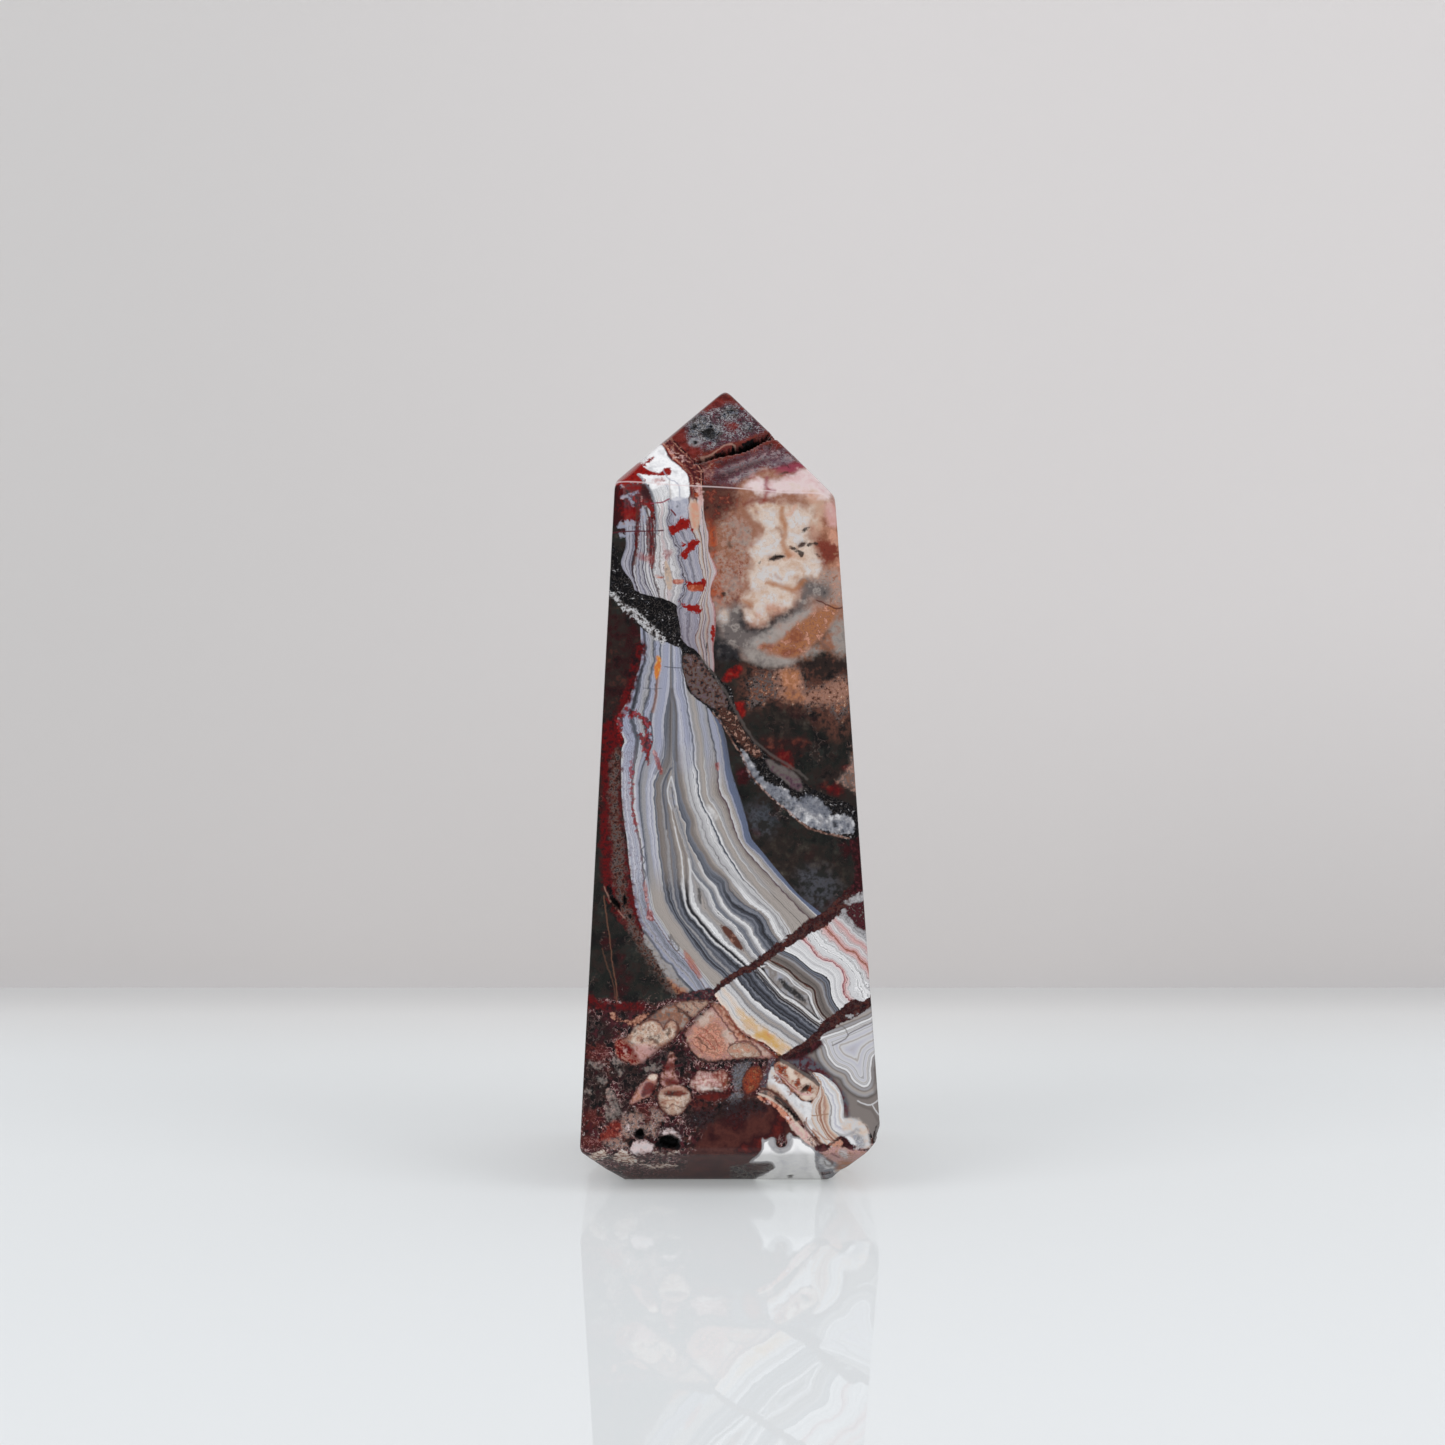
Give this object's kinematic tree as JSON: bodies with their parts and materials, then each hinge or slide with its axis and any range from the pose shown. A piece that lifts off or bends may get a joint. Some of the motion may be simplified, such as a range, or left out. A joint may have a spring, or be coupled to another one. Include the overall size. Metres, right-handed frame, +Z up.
{
  "type": "agate tower",
  "caption": "Polished obelisk of banded lace agate with a four-sided point, tapered sides and a bevelled foot; it stands upright on its flat foot.",
  "frame": {"origin": "middle of the stone's footprint, on the surface that it stands on", "axes": "+Z up the stone to its tip, -Y towards the face with the finest banding, +X to the right of that face"},
  "size_m": [0.034, 0.034, 0.09],
  "materials": {
    "polished_agate": "natural lace agate and jasper, high polish"
  },
  "bodies": {
    "root": {"tower": "polished_agate"}
  },
  "joints": []
}
